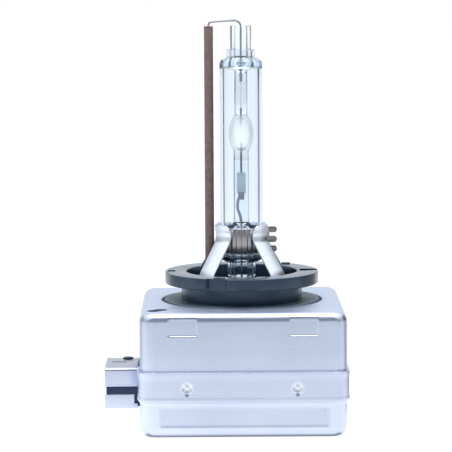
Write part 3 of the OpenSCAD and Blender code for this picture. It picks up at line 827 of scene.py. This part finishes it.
# ---------------- base ring and seal
LEG_SPOT, LEG_W, LEG_T = 10.6, 4.15, 0.35
LEG_BEARINGS = {"leg_front_left": 225, "leg_front_right": 315, "leg_rear_left": 135, "leg_rear_right": 45}
GROOVE = [(12.1, -1.5), (RING_R + 1, 0.2), (RING_R + 1, 1.9), (12.1, 2.2)]
GROOVE_DEPTH = 0.6
POCKET = ((-15.45, -4.1), (-13.85, 0.9))
POCKET_DEPTH = 0.16
NOTCH_W, NOTCH_DEPTH, NOTCH_SLANT, NOTCH_BEARING = 4.0, 1.0, 0.3, -20
FLAT_DEPTH, FLAT_BEARING = 0.22, 4
# Raised marks on the ring: low corner, high corner, rounding, height over the ring and turn about Z
MARKS = {"pad": ((8.7, 10.0), (10.5, 11.8), 0.85, 0.3, 0),
         "sprue": ((-1.2, 13.1), (1.2, 14.6), 0.5, 0.12, 0),
         "mark": ((-1.1, -14.6), (1.1, -13.2), 0.4, 0.15, NOTCH_BEARING)}


def add_base_ring():
    """The locating ring with its neck, spigot and cup, its marks, and the slots for the legs and the tube."""
    neck_low = SEAL_HIGH.z
    hub = [(0.8, SPIGOT_Z, 0), (SPIGOT_R, SPIGOT_Z, 0.2), (SPIGOT_R, neck_low, 0), (NECK_R, neck_low, 0.12),
           (NECK_R, RING_Z, 0.3), (RING_R, RING_Z, 0.28), (RING_R, RING_TOP, 0.22), (CUP_R, RING_TOP, 0.25),
           (CUP_R, CUP_FLOOR, 0.5), (TOWER_R, CUP_FLOOR, 0.25), (TOWER_R, TOWER_TOP, 0.2),
           (TOWER_BORE, TOWER_TOP, 0.2), (TOWER_BORE, CUP_FLOOR, 0.15), (0.8, CUP_FLOOR, 0.1)]
    ring = revolve("locating_ring_body", hub, 160)
    fuse(ring, *[prism(name, box_outline(low, high, soft), RING_Z + 0.1, RING_TOP + rise, angle=turn)
                 for name, (low, high, soft, rise, turn) in MARKS.items()])
    mouth, root = NOTCH_W / 2 + NOTCH_SLANT, NOTCH_W / 2 - NOTCH_SLANT
    edge = -RING_R
    notch = rounded([(-mouth, edge - 1, 0), (mouth, edge - 1, 0), (mouth, edge + 0.1, 0.1),
                     (root, edge + NOTCH_DEPTH, 0.2), (-root, edge + NOTCH_DEPTH, 0.2),
                     (-mouth, edge + 0.1, 0.1)])
    flat = box_outline((-NOTCH_W / 2, edge - 1), (NOTCH_W / 2, edge + FLAT_DEPTH), 0.1)
    leg = box_outline((LEG_SPOT - LEG_T / 2, -LEG_W / 2), (LEG_SPOT + LEG_T / 2, LEG_W / 2))
    slots = [prism("slot", leg, CUP_FLOOR - 0.8, CUP_FLOOR + 1, angle=turn)
             for turn in sorted(LEG_BEARINGS.values())]
    cut(ring, prism("notch", notch, RING_Z - 1, RING_TOP + 1, angle=NOTCH_BEARING),
        prism("flat", flat, RING_Z + 0.3, RING_TOP - 0.3, angle=FLAT_BEARING),
        prism("groove", GROOVE, RING_TOP - GROOVE_DEPTH, RING_TOP + 1),
        prism("pocket", box_outline(*POCKET, 0.75), RING_TOP - POCKET_DEPTH, RING_TOP + 1),
        prism("tube_hole", circle((CERAMIC_X, 0), CERAMIC_R, 24), 20, CUP_FLOOR + 1),
        *slots)
    return finish_piece(ring, RING_PLASTIC, "ring_plastic", "base_ring", sharp=35)


def add_base_seal():
    """The seal disc: a shallow dish with two moulded beads."""
    outer, low, high = SEAL_HIGH.x, SEAL_LOW.z, SEAL_HIGH.z
    outline = [(SPIGOT_R + 0.02, low, 0), (outer, low, 0), (outer, high, 0.1), (outer - 0.5, high, 0.1),
               (outer - 0.7, high - 0.07, 0.1), (NECK_R + 1.2, high - 0.07, 0.1), (NECK_R + 1.0, high, 0.05),
               (SPIGOT_R + 0.02, high, 0)]
    seal = revolve("seal_disc", outline, 160)
    return finish_piece(seal, SEAL_RUBBER, "seal_rubber", "base_seal", sharp=60)


# ---------------- clamp band and legs
FLUTES, FLUTE_STEPS, FLUTE_DEPTH = 24, 10, 0.2
EAR_T, EAR_ROOT, EAR_REACH = 1.1, 5.8, 7.4
LUGS = ((35.6, 36.8), (37.55, 38.8), (39.6, 40.8))
LEG_PATH = [(LEG_SPOT, 0, 26.25), (LEG_SPOT, 0, 31.1), (4.95, 0, 38.75), (5.95, 0, 41.45)]
LEG_BENDS, LEG_TIP = (1.6, 1.5), 1.15


def fluted(radius):
    """A closed outline of broad rounded flutes with narrow grooves between them."""
    outline = []
    for i in range(FLUTES * FLUTE_STEPS):
        a = 2 * math.pi * i / (FLUTES * FLUTE_STEPS)
        bulge = abs(math.sin(a * FLUTES / 2)) ** 0.45
        reach = radius - FLUTE_DEPTH * (1 - bulge)
        outline.append((reach * math.cos(a), reach * math.sin(a)))
    return outline


def add_clamp_band():
    """The fluted band round the glass, with its crimp ear and the ear's three lugs."""
    low, high = BAND_LOW.z, BAND_HIGH.z
    outer = BAND_HIGH.y
    soft = 0.12
    inside = circle((0, 0), GLASS_R + 0.03, FLUTES * FLUTE_STEPS)
    rows = [(fluted(outer - soft), low), (fluted(outer), low + soft), (fluted(outer), high - soft),
            (fluted(outer - soft), high), (inside, high), (inside, low)]
    points = [(x, y, z) for outline, z in rows for x, y in outline]
    band = build("clamp_band_body", points, ring_faces(len(rows), len(inside), True))
    root = box_outline((outer - 0.4, low), (EAR_ROOT, high), 0.05)
    ear = prism("ear", root, -EAR_T / 2, EAR_T / 2, "Y")
    lugs = [prism("lug", box_outline((EAR_ROOT - 0.3, a), (EAR_REACH, b), (b - a) / 2 - 0.02),
                  -EAR_T / 2, EAR_T / 2, "Y") for a, b in LUGS]
    fuse(ear, *lugs)
    bevel(ear, 0.1)
    fuse(band, ear)
    return finish_piece(band, BAND_STEEL, "band_steel", "clamp_band", sharp=50)


def add_legs():
    """Four flat spring legs. The path's points come closer together towards the rounded tip."""
    path = smooth_path(LEG_PATH, LEG_BENDS, 12)
    end, before = path.pop(), path[-1]
    steps = 14
    path += [before.lerp(end, math.sin(math.pi / 2 * k / steps)) for k in range(1, steps + 1)]
    for node, bearing in LEG_BEARINGS.items():
        leg = strip(node + "_strip", path, LEG_W, LEG_T, tip=LEG_TIP, angle=bearing)
        finish_piece(leg, LEG_STEEL, "leg_steel", node, sharp=50)


# ---------------- burner
SHOULDER = 1.3
GLASS_FOOT, GLASS_NECK, FOOT_WALL = 3.3, 1.8, 0.95
SEAL_R, HIGH_SEAL_R = 1.6, 1.35
TOP_WALL = 1.8
STEM_BORE, FOOT_BORE = 1.2, 1.35
# Heights on the arc tube: the foot's bore and top, both press seals, the stem's start and its hollow's floor
BORE_TOP, FOOT_TOP = 41.2, 41.3
SEAL_START, SEAL_FULL, SEAL_END = 42.6, 44.0, 54.2
HIGH_SEAL_START, HIGH_SEAL_END = 65.6, 73.0
STEM_START, STEM_FLOOR, STEM_PIT = 74.3, 75.2, 74.0
FIT = 0.015
FOIL_W, FOIL_T = 1.3, 0.07
WIRE_R = 0.2


def add_outer_glass():
    """The outer envelope: a wide tube with a collar at each end, sealed to the arc tube."""
    low, high = GLASS_LOW.z, GLASS_HIGH.z
    body_low, body_high = low + GLASS_FOOT, high - GLASS_NECK
    outline = [(FOOT_R + FIT, low, 0.1), (COLLAR_R, low, 0.5), (COLLAR_R, body_low, 0.25),
               (GLASS_R, body_low, SHOULDER), (GLASS_R, body_high, SHOULDER), (COLLAR_R, body_high, 0.25),
               (COLLAR_R, high, 0.3), (STEM_R + FIT, high, 0.1),
               (STEM_R + FIT, body_high - TOP_WALL, 0.1), (BORE_R, body_high - TOP_WALL, 0.5),
               (BORE_R, body_low + FOOT_WALL, 0.7), (FOOT_R + FIT, body_low + FOOT_WALL, 0.1)]
    glass = build("outer_glass_tube", *lathe(rounded(outline, 10), 160))
    return finish_piece(glass, OUTER_GLASS, "outer_glass", "outer_glass", sharp=60)


def ellipse(middle_z, wide, tall, start, end, steps):
    """Points on an upright ellipse about the axis, angles in degrees."""
    return [(wide * x, middle_z + tall * z) for x, z in arc((0, 0), 1, start, end, steps)]


def add_arc_tube():
    """The arc tube: bored foot, press seals, chamber with its closed cavity, and the open stem."""
    low, top = QUARTZ_LOW.z, QUARTZ_HIGH.z
    steps = 128
    seal_turn = math.degrees(math.acos(SEAL_R / CHAMBER[0]))
    high_turn = math.degrees(math.acos(HIGH_SEAL_R / CHAMBER[0]))
    outline = [(0, BORE_TOP), *reversed(arc((0, BORE_TOP - FOOT_BORE), FOOT_BORE, 0, 90, 12)[:-1])]
    outline += [(FOOT_BORE, low), (FOOT_R, low), (FOOT_R, FOOT_TOP)]
    outline += arc((FOOT_R - 0.5, FOOT_TOP), 0.5, 0, 70, 6)[1:]
    outline += [(SEAL_R + 0.04, SEAL_START), (SEAL_R, SEAL_FULL), (SEAL_R, SEAL_END)]
    outline += ellipse(ARC_Z, *CHAMBER, -seal_turn, high_turn, 40)
    outline += [(HIGH_SEAL_R, HIGH_SEAL_START), (HIGH_SEAL_R, HIGH_SEAL_END)]
    outline += arc((STEM_R - 0.9, STEM_START), 0.9, -60, 0, 8)
    outline += [(STEM_R, top - 0.2), *arc((STEM_R - 0.2, top - 0.2), 0.2, 30, 90, 3)]
    outline += [*arc((STEM_BORE + 0.2, top - 0.2), 0.2, 90, 180, 4), (STEM_BORE, STEM_FLOOR)]
    outline += [*arc((0, STEM_FLOOR), STEM_BORE, 0, -90, 10)[1:-1], (0, STEM_PIT)]
    points, faces = lathe(outline, steps)
    tube = build("arc_tube_quartz", points, faces[:-steps])
    steps = 96
    points, faces = lathe(ellipse(ARC_Z, *CAVITY, -90, 90, 32), steps)
    chamber = build("chamber", points, faces[:-steps])
    turn_inside_out(chamber)
    join(tube, chamber)
    return finish_piece(tube, QUARTZ, "quartz", "arc_tube", sharp=60)


def wavy_strip(name, z_low, z_high, width, angle):
    """A thin foil with soft cross ripples and rounded ends."""
    steps = 60
    heights = [z_low + (z_high - z_low) * (1 - math.cos(math.pi * i / steps)) / 2
               for i in range(steps + 1)]
    path = [Vector((0.03 * math.sin(1.3 * z) + 0.004 * math.sin(9.0 * z), 0, z)) for z in heights]
    return strip(name, path, width, FOIL_T, tip=0.2, angle=angle, corner=0.03)


def add_foils():
    """The two foils, one turned across the other."""
    for node, angle in (("lower_foil", 90), ("upper_foil", 0)):
        low, high = node_box(node)
        foil = wavy_strip(node + "_strip", low.z, high.z, FOIL_W, angle)
        finish_piece(foil, FOIL, "foil", node, sharp=50)


def add_leads():
    """The thin return wire over the top, and the lower lead with its weld to the foil."""
    over = WIRE_HIGH.z - WIRE_R
    foil_top = node_box("upper_foil")[1].z
    points = [(0, 0, foil_top - 0.5), (0.03, 0.05, over), (CERAMIC_X, 0, over - 0.45),
              (CERAMIC_X, 0, WIRE_LOW.z)]
    path = smooth_path(points, (1.7, 0.75), 16)
    finish_piece(build("return_wire_bent", *sweep(path, WIRE_R)), WIRE_METAL, "wire", "return_wire", sharp=50)
    foil_low = node_box("lower_foil")[0].z
    start = node_box("lower_lead")[0].z
    points = [(0, 0, start), (0, 0, 41.9), (-0.2, 0, 43.4), (-0.58, 0, 44.6), (-0.5, 0, 46.2),
              (-0.1, 0, foil_low)]
    path = smooth_path(points, (0.8, 0.7, 0.5, 0.5), 8)
    lead = build("lower_lead_bent", *sweep(path, WIRE_R))
    weld = prism("weld", box_outline((-0.42, -0.14), (0.42, 0.14), 0.1), foil_low - 1.3, foil_low + 0.3)
    fuse(lead, weld)
    finish_piece(lead, WIRE_METAL, "wire", "lower_lead", sharp=50)


def add_ceramic_tube():
    """The insulating sleeve, with a chamfered bore at its top."""
    low, high = CERAMIC_LOW.z, CERAMIC_HIGH.z
    outline = [(0.28, low, 0), (CERAMIC_R, low, 0.08), (CERAMIC_R, high, 0.14), (0.36, high, 0.06),
               (0.28, high - 0.15, 0.05)]
    tube = revolve("ceramic_sleeve", outline, 64)
    tube.data.transform(Matrix.Translation((CERAMIC_X * MM, 0, 0)))
    finish_piece(tube, CERAMIC, "ceramic", "ceramic_tube", sharp=50)


# ---------------- connector
SHIELD_T = 0.4
SHIELD_EDGE = 0.75
WALL_T = 1.0
SLOT = ((-27.1, -5.35), (-24.2, -4.45))
NUB_AT, NUB_R = (-23.85, -0.7), 1.05
END_GAP, END_GAP_H = 0.7, 1.9
PLUG_END, KEY_END = -21.7, -23.5
PIN_PLACES, PIN_HALF = (-4.9, -2.9, 2.9, 4.9), 0.32
PINS_LOW, PINS_HIGH = node_box("connector_pins")
PIN_LEVEL = PINS_HIGH.z - PIN_HALF


def trough(name, low, high, front, back, up):
    """A bent metal shield: an open trough of sheet along X, up being 1 for the upper and -1 for the lower."""
    e, t = SHIELD_EDGE, SHIELD_T
    near, far = (low, high) if up > 0 else (high, low)
    hem = 0.1 * up
    outline = rounded([(front, near, 0.08), (front, far, e), (back, far, e), (back, near, 0.08),
                       (back - t, near, 0.08), (back - t, far - t * up, e - t),
                       (front + t, far - t * up, e - t), (front + t, near + hem, 0.08)], 6)
    shell = prism(name, outline, SHIELD_LOW.x, SHIELD_HIGH.x, "X")
    bevel(shell, 0.07)
    return shell


def add_shields():
    """The upper shield with its slot, its round hole and a hem line, and the lower one with an end gap."""
    front, back = SHIELD_LOW.y, SHIELD_HIGH.y
    low, top = SHIELD_LOW.z, SHIELD_HIGH.z
    upper = trough("upper_shield_sheet", low, top, front, back, 1)
    hem = box_outline((front - 1, low + 0.35), (front + 0.09, low + 0.6), 0.03)
    cut(upper, prism("slot", box_outline(*SLOT, 0.15), top - 1, top + 1),
        prism("nub_hole", circle(NUB_AT, NUB_R + 0.08), top - 1, top + 1),
        prism("hem", hem, SHIELD_LOW.x + 0.4, SHIELD_HIGH.x - 1.2, "X"))
    finish_piece(upper, SHIELD_STEEL, "can_steel", "connector_upper_shield", sharp=40)
    end, high = FOOT_SHIELD_HIGH.x, FOOT_SHIELD_HIGH.z
    lower = trough("lower_shield_sheet", FOOT_SHIELD_LOW.z, high, front, back, -1)
    gap = box_outline((end - END_GAP, high - END_GAP_H), (end + 1, high + 1), 0.1)
    cut(lower, prism("gap", gap, front - 1, front + 0.6, "Y"))
    finish_piece(lower, SHIELD_STEEL, "can_steel", "connector_lower_shield", sharp=40)


def add_shroud():
    """The plastic body inside the shields: its flange in their gap, a nub on top, and a keyed mouth for the
    plug with holes for the pins."""
    skin = SHIELD_T + 0.01
    front, back = SHIELD_LOW.y + skin, SHIELD_HIGH.y - skin
    low, high = FOOT_SHIELD_LOW.z + skin, SHIELD_HIGH.z - skin
    middle = (front + back) / 2
    mouth_x = SHROUD_LOW.x
    shroud = prism("connector_shroud_body", box_outline((front, low), (back, high), 0.35),
                   mouth_x, SHROUD_HIGH.x, "X")
    gap = box_outline((SHIELD_LOW.y, FOOT_SHIELD_HIGH.z + 0.02), (SHIELD_HIGH.y, SHIELD_LOW.z - 0.02), 0.1)
    flange = prism("flange", gap, mouth_x, SHIELD_HIGH.x, "X")
    nub = prism("nub", circle(NUB_AT, NUB_R), high - 0.5, SHROUD_HIGH.z)
    bevel(nub, 0.15)
    fuse(shroud, flange, nub)
    inner = box_outline((front + WALL_T, low + WALL_T), (back - WALL_T, high - WALL_T), 0.5)
    funnel = box_outline((front + 0.7, low + 0.7), (back - 0.7, high - 0.7), 0.6)
    key = box_outline((middle - 1.5, high - WALL_T - 0.1), (middle + 1.5, high - 0.45), 0.1)
    cutters = [prism("mouth", inner, mouth_x - 1, PLUG_END, "X"),
               prism("funnel", funnel, mouth_x - 1, mouth_x + 0.4, "X"),
               prism("key", key, mouth_x - 1, KEY_END, "X")]
    half = PIN_HALF + 0.01
    for y in PIN_PLACES:
        hole = box_outline((middle + y - half, PIN_LEVEL - half), (middle + y + half, PIN_LEVEL + half))
        cutters.append(prism("pin_hole", hole, -24, -19, "X"))
    cut(shroud, *cutters)
    finish_piece(shroud, PLUG_PLASTIC, "connector_plastic", "connector_shroud", sharp=40)


def add_pins():
    """Four square pins, each with a tapered tip, bent down into the bed behind the wall."""
    middle = (PINS_LOW.y + PINS_HIGH.y) / 2
    bend_x = PINS_HIGH.x - PIN_HALF
    route = [(PINS_LOW.x, 0, PIN_LEVEL), (bend_x, 0, PIN_LEVEL), (bend_x, 0, PINS_LOW.z)]
    path = smooth_path(route, (0.5,), 6)
    path.insert(1, Vector((PINS_LOW.x + 0.7, 0, PIN_LEVEL)))
    pins = []
    for y in PIN_PLACES:
        points = []
        for i, here in enumerate(path):
            ahead = (path[min(i + 1, len(path) - 1)] - path[max(i - 1, 0)]).normalized()
            out = Vector((-ahead.z, 0, ahead.x))
            size = PIN_HALF * (0.4 if i == 0 else 1)
            points += [here + Vector((0, middle + y + a * size, 0)) + b * size * out
                       for a, b in ((-1, -1), (1, -1), (1, 1), (-1, 1))]
        pin = build("pins", points, ring_faces(len(path), 4, False) + end_faces(len(path), 4))
        bevel(pin, 0.04, 1)
        pins.append(pin)
    join(*pins)
    pins[0].name = "connector_pin_set"
    finish_piece(pins[0], PIN_PLATING, "pin_plating", "connector_pins", sharp=40)


# ---------------- stage, light and camera
# Brightness round the horizon on each side, from the front (0) through the side (0.5) to the back (1)
LEFT_ROUND = ((0.0, 0.32), (0.05, 0.40), (0.28, 0.58), (0.42, 0.82),
              (0.54, 0.75), (0.64, 0.38), (0.82, 0.38), (0.87, 0.92))
RIGHT_ROUND = ((0.0, 0.32), (0.06, 0.34), (0.26, 0.38), (0.40, 0.62),
               (0.50, 0.66), (0.61, 0.12), (0.855, 0.12), (0.895, 0.92))
GREY_TINT = (0.95, 0.975, 1.0)
FRONT_GREY = (0.24, 0.26, 0.30)
FRONT_STRIP = (1.02, 1.05, 1.08)
ABOVE = (1.26, 1.29, 1.32)
ABOVE_BEHIND = (0.95, 0.975, 1.0)
# The floor: half its size, its own colour and the white that the camera sees
FLOOR_HALF = 3000
FLOOR_PAPER, FLOOR_SEEN = (0.15, 0.153, 0.158), (0.93, 0.945, 0.96)
# Its glow near the lamp, which starts and ends at these distances in metres, and which the back gets less of
FLOOR_NEAR, FLOOR_START, FLOOR_REACH, FLOOR_BACK = 0.58, 0.05, 0.45, 0.4
# The painted contact shadow where the lamp stands, and how bright that painted shadow is
CONTACT_SHADOW, CONTACT_SHADOW_LEVEL = (19.9, 20.7), 0.3
LAMP_SIZE, LAMP_AT, LAMP_AIM, LAMP_POWER = (420, 300), (0, -40, 420), (0, 0, 30), 1.2
CAMERA_AT = Vector((-6.55, -486.36, 92.38))
CAMERA_RIGHT, CAMERA_UP = Vector((0.99996, -0.00740, -0.00542)), Vector((0.00617, 0.10515, 0.99444))
CAMERA_SENSOR, CAMERA_LENS = 36, 186.7


def surround(tree, direction):
    """The studio's colour round the horizon in a direction, and its bearing from front (0) to back (1)."""
    level = vector_node(tree, "MULTIPLY", direction, (1, 1, 0))["Vector"]
    around = components(tree, vector_node(tree, "NORMALIZE", level)["Vector"])
    bearing = spread(tree, around["Y"], 0, 1, -1, 1)
    sides = []
    for stops in (LEFT_ROUND, RIGHT_ROUND):
        scale = tree.nodes.new("ShaderNodeValToRGB")
        elements = scale.color_ramp.elements
        while len(elements) < len(stops):
            elements.new(0.5)
        for element, (spot, grey) in zip(elements, stops):
            element.position = spot
            element.color = (*(grey * tint for tint in GREY_TINT), 1)
        tree.links.new(bearing, scale.inputs[0])
        sides.append(scale.outputs[0])
    right = spread(tree, around["X"], 0, 1, -0.08, 0.08)
    return mixed(tree, right, *sides), bearing


def seen_as(tree, colour, white):
    """The colour for every ray but the camera's own, which see white."""
    camera_ray = tree.nodes.new("ShaderNodeLightPath").outputs["Is Camera Ray"]
    return mixed(tree, camera_ray, colour, white)


def add_floor():
    """A pale floor that carries the studio's colours, glows most round the lamp and has a painted contact
    shadow where the lamp stands.
    """
    half = FLOOR_HALF
    floor = build("floor", [(-half, -half, FLOOR_Z), (half, -half, FLOOR_Z), (half, half, FLOOR_Z),
                            (-half, half, FLOOR_Z)], [(0, 1, 2, 3)])
    material, tree, shader = new_material("floor_paper")
    shader.inputs["Base Color"].default_value = (*FLOOR_PAPER, 1)
    shader.inputs["Roughness"].default_value = 0.9
    shader.inputs["Specular IOR Level"].default_value = 0.1
    shader.inputs["Emission Strength"].default_value = 1
    place = tree.nodes.new("ShaderNodeNewGeometry").outputs["Position"]
    colours, bearing = surround(tree, place)
    away = vector_node(tree, "LENGTH", place)["Value"]
    near = product(tree, spread(tree, away, FLOOR_NEAR, 0, FLOOR_START, FLOOR_REACH),
                   spread(tree, bearing, 1, FLOOR_BACK, 0.25, 0.5))
    bright = vector_node(tree, "ADD", colours, near)["Vector"]
    axes = components(tree, place)
    across = [calculate(tree, "ABSOLUTE", axes[axis]) for axis in "XY"]
    square = calculate(tree, "MAXIMUM", *across)
    # Painted contact shadow: the floor's glow drops in a square under the lamp.
    clear = spread(tree, square, CONTACT_SHADOW_LEVEL, 1, CONTACT_SHADOW[0] * MM, CONTACT_SHADOW[1] * MM)
    glow = vector_node(tree, "MULTIPLY", bright, clear)["Vector"]
    tree.links.new(seen_as(tree, glow, FLOOR_SEEN), shader.inputs["Emission Color"])
    floor.data.materials.append(material)


def add_world():
    """A studio: the surround at the horizon, softboxes above, and at the camera's side a bright low strip
    under a grey wall. Heights are sines of the elevation."""
    world = bpy.data.worlds.new("studio")
    bpy.context.scene.world = world
    world.use_nodes = True
    tree = world.node_tree
    direction = tree.nodes.new("ShaderNodeTexCoord").outputs["Generated"]
    colour, bearing = surround(tree, direction)
    height = components(tree, direction)["Z"]
    behind = spread(tree, bearing, 0, 1, 0.70, 0.92)
    upward = mixed(tree, behind, ABOVE, ABOVE_BEHIND)
    colour = mixed(tree, spread(tree, height, 0, 1, 0.42, 0.62), colour, upward)
    ahead = spread(tree, bearing, 1, 0, 0.1, 0.2)
    low = spread(tree, height, 1, 0, 0.12, 0.17)
    colour = mixed(tree, product(tree, ahead, low), colour, FRONT_STRIP)
    over = spread(tree, height, 0, 1, 0.15, 0.21)
    under = spread(tree, height, 1, 0, 0.90, 0.97)
    colour = mixed(tree, product(tree, ahead, over, under), colour, FRONT_GREY)
    tree.links.new(seen_as(tree, colour, (1, 1, 1)), tree.nodes["Background"].inputs["Color"])


def add_light():
    """One big soft lamp overhead."""
    lamp = bpy.data.lights.new("overhead", "AREA")
    lamp.shape = "RECTANGLE"
    lamp.size, lamp.size_y = LAMP_SIZE[0] * MM, LAMP_SIZE[1] * MM
    lamp.energy = LAMP_POWER
    stand = bpy.data.objects.new("overhead", lamp)
    stand.location = Vector(LAMP_AT) * MM
    aim = (Vector(LAMP_AIM) - Vector(LAMP_AT)).normalized()
    stand.rotation_euler = aim.to_track_quat("-Z", "Y").to_euler()
    bpy.context.scene.collection.objects.link(stand)


def add_camera():
    """A long lens that looks slightly down on the front."""
    camera = bpy.data.cameras.new("camera")
    camera.sensor_width = CAMERA_SENSOR
    camera.lens = CAMERA_LENS
    camera.clip_start, camera.clip_end = 0.01, 20
    stand = bpy.data.objects.new("camera", camera)
    turn = Matrix((CAMERA_RIGHT, CAMERA_UP, CAMERA_RIGHT.cross(CAMERA_UP))).transposed()
    stand.matrix_world = Matrix.Translation(CAMERA_AT * MM) @ turn.to_4x4()
    bpy.context.scene.collection.objects.link(stand)
    bpy.context.scene.camera = stand


add_upper_can()
add_lower_can()
add_base_ring()
add_base_seal()
add_clamp_band()
add_legs()
add_outer_glass()
add_arc_tube()
add_foils()
add_leads()
add_ceramic_tube()
add_shields()
add_shroud()
add_pins()
add_floor()
add_world()
add_light()
add_camera()
bpy.context.scene.view_settings.view_transform = "Standard"
